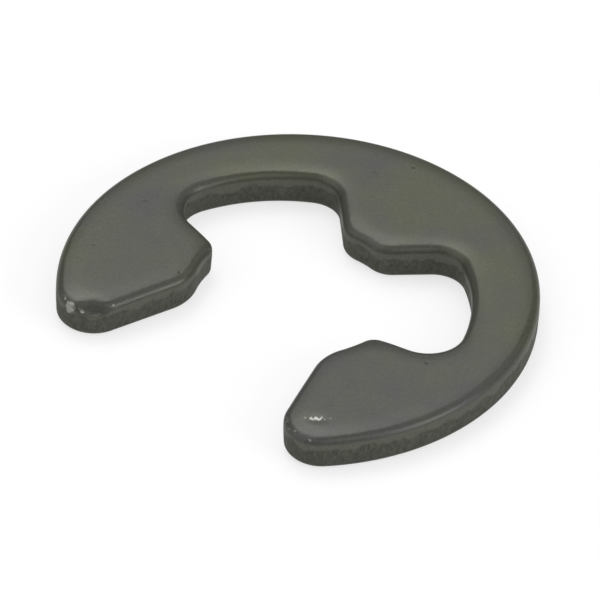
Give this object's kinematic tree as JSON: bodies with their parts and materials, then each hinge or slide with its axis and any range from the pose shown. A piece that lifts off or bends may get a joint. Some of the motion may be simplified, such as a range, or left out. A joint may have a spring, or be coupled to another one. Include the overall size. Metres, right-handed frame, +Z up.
{
  "type": "e clip",
  "caption": "Flat spring-steel retaining clip shaped like an E: its inner lands grip a shaft groove and a flared mouth lets it push on from the side.",
  "frame": {"origin": "on the shaft's axis, level with the clip's lower face", "axes": "+Z up through the thickness, along the shaft's axis; the mouth opens towards -Y; X runs from prong to prong"},
  "size_m": [0.0072, 0.0063, 0.0006],
  "materials": {
    "spring_steel": "satin"
  },
  "bodies": {
    "root": {"e_clip": "spring_steel"}
  },
  "joints": []
}
